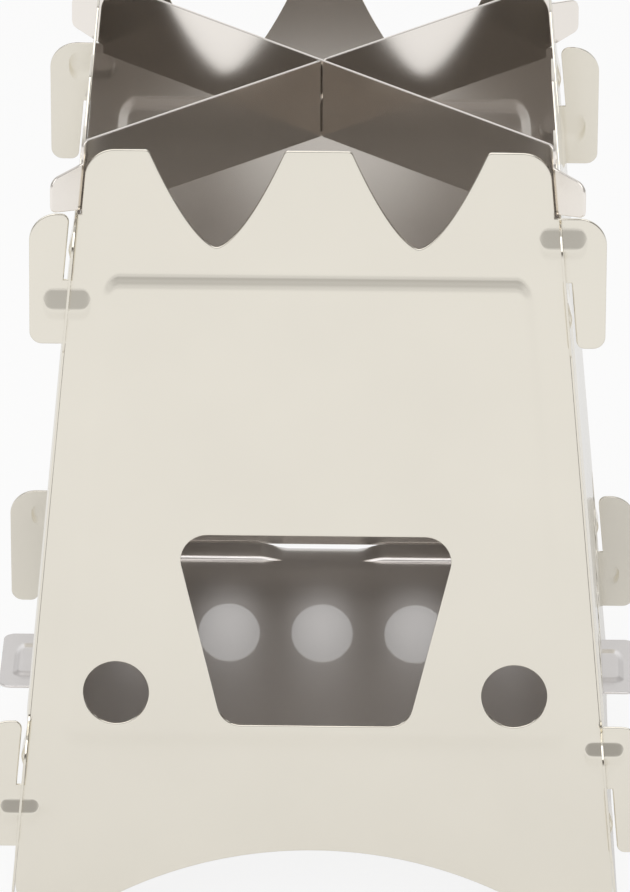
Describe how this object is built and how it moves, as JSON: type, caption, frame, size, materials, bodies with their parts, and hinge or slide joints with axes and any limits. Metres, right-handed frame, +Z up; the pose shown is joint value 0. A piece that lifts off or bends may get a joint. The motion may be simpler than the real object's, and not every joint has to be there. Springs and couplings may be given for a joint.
{
  "type": "twig stove",
  "caption": "Square tapered camp stove of hooked leaning sheet panels with a fuel door, air holes, toothed crown, floor tray and crossed pot supports that lift out.",
  "frame": {"origin": "on the ground under the middle of the stove", "axes": "+Z up, -Y out of the fuel door, +X to the right seen from the front"},
  "size_m": [0.1626, 0.1626, 0.1979],
  "materials": {
    "front_panel": "bright rolled stainless sheet",
    "right_panel": "bright rolled stainless sheet",
    "rear_panel": "bright rolled stainless sheet",
    "left_panel": "bright rolled stainless sheet",
    "floor_tray": "bright rolled stainless sheet",
    "pot_support_lower": "bright rolled stainless sheet",
    "pot_support_upper": "bright rolled stainless sheet"
  },
  "bodies": {
    "stove": {"front_panel": "front_panel", "right_panel": "right_panel", "rear_panel": "rear_panel", "left_panel": "left_panel", "floor_tray": "floor_tray"},
    "lower_cross": {"pot_support_lower": "pot_support_lower"},
    "upper_cross": {"pot_support_upper": "pot_support_upper"}
  },
  "joints": [
    {"name": "lower_cross_lift", "type": "slide", "parent": "stove", "child": "lower_cross", "axis": [0, 0, 1], "range_m": [0, 0.04]},
    {"name": "upper_cross_lift", "type": "slide", "parent": "lower_cross", "child": "upper_cross", "axis": [0, 0, 1], "range_m": [0, 0.03]}
  ]
}
